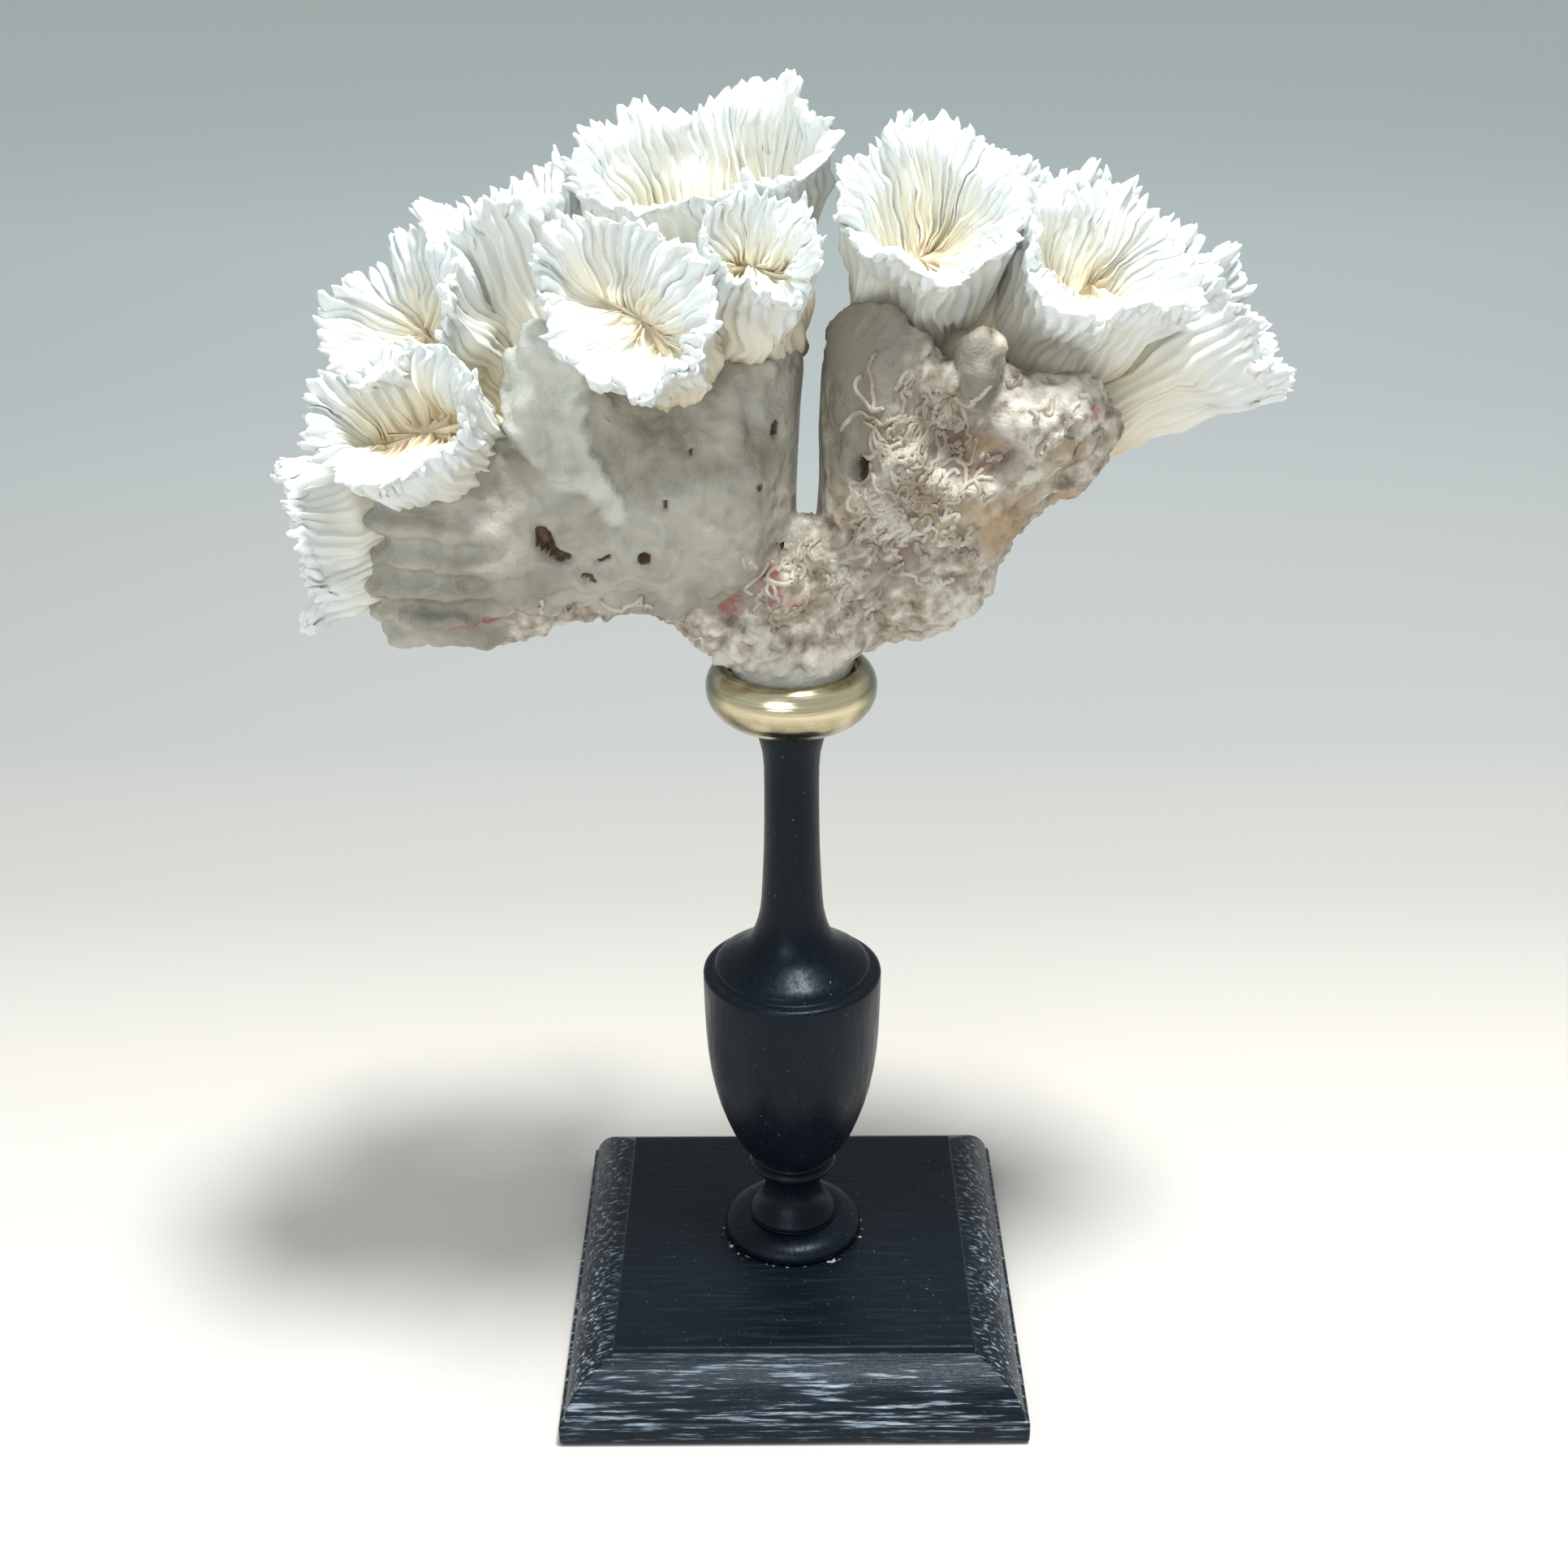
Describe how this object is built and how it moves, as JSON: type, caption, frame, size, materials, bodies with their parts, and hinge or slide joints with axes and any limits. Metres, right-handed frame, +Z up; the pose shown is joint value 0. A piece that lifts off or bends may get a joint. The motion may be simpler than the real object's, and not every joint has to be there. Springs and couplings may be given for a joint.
{
  "type": "branching coral",
  "caption": "Branching stony coral whose two crusted boughs end in white fluted cups, fixed in a brass collar on a turned black wooden stand with a moulded square base",
  "frame": {"origin": "centre of the underside of the square base board", "axes": "+Z up, +X along the coral's long way to the right seen from the front, +Y to the back"},
  "size_m": [0.1841, 0.095, 0.2523],
  "materials": {
    "stand_wood": "open-grained wood stained black, with a thin satin wax that lies whitish in the grain",
    "collar_brass": "polished on the lathe, with fine turning lines",
    "coral_crust": "smooth grey-beige limy crust with a dull sheen",
    "coral_worm_crust": "rough beige crust grown over with fine worm tubes, with pink patches",
    "coral_cup": "bleached white aragonite, slightly translucent at the thin edges"
  },
  "bodies": {
    "root": {"base_board": "stand_wood", "turned_column": "stand_wood", "brass_collar": "collar_brass", "coral_trunk": "coral_crust", "coral_left_bough": "coral_crust", "coral_right_bough": "coral_worm_crust", "cup_front_long": "coral_cup", "cup_left_low": "coral_cup", "cup_front_small": "coral_cup", "cup_right_front": "coral_cup", "cup_right_mid": "coral_cup", "cup_crown": "coral_cup", "cup_left_tall": "coral_cup", "cup_left_high": "coral_cup", "cup_left_end": "coral_cup", "cup_right_end": "coral_cup", "cup_right_back": "coral_cup", "cup_right_rear": "coral_cup", "cup_right_heel": "coral_cup", "cup_left_rear": "coral_cup", "cup_left_heel": "coral_cup"}
  },
  "joints": []
}
